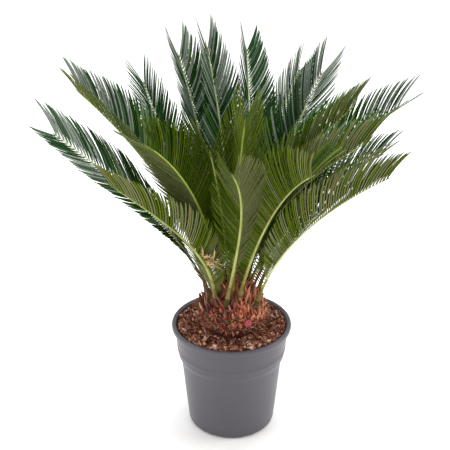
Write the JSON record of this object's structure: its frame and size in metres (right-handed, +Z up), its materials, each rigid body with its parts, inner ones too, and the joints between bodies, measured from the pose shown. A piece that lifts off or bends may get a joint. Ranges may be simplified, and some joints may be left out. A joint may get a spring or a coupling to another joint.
{
  "type": "potted sago palm",
  "caption": "Young sago palm, a cycad, with a short scaly trunk and arching feather fronds, growing in a round plastic nursery pot filled with bark compost.",
  "frame": {"origin": "centre of the pot's flat underside", "axes": "+Z up the pot's axis towards the crown, -Y towards the front of the plant"},
  "size_m": [0.5755, 0.5821, 0.6362],
  "materials": {
    "pot": "grey moulded polypropylene, satin",
    "soil": "dark brown bark and peat compost",
    "caudex": "brown and rust-red woody leaf bases",
    "frond": "dark green, leathery, glossy above and matt below"
  },
  "bodies": {
    "root": {"pot": "pot", "soil": "soil", "caudex": "caudex", "frond_back_1": "frond", "frond_back_2": "frond", "frond_back_3": "frond", "frond_back_4": "frond", "frond_back_5": "frond", "frond_back_6": "frond", "frond_back_7": "frond", "frond_right_1": "frond", "frond_right_2": "frond", "frond_right_3": "frond", "frond_right_4": "frond", "frond_right_5": "frond", "frond_right_6": "frond", "frond_front_1": "frond", "frond_front_2": "frond", "frond_front_3": "frond", "frond_front_4": "frond", "frond_left_1": "frond", "frond_left_2": "frond", "frond_left_3": "frond", "frond_left_4": "frond", "frond_left_5": "frond", "frond_left_6": "frond"}
  },
  "joints": []
}
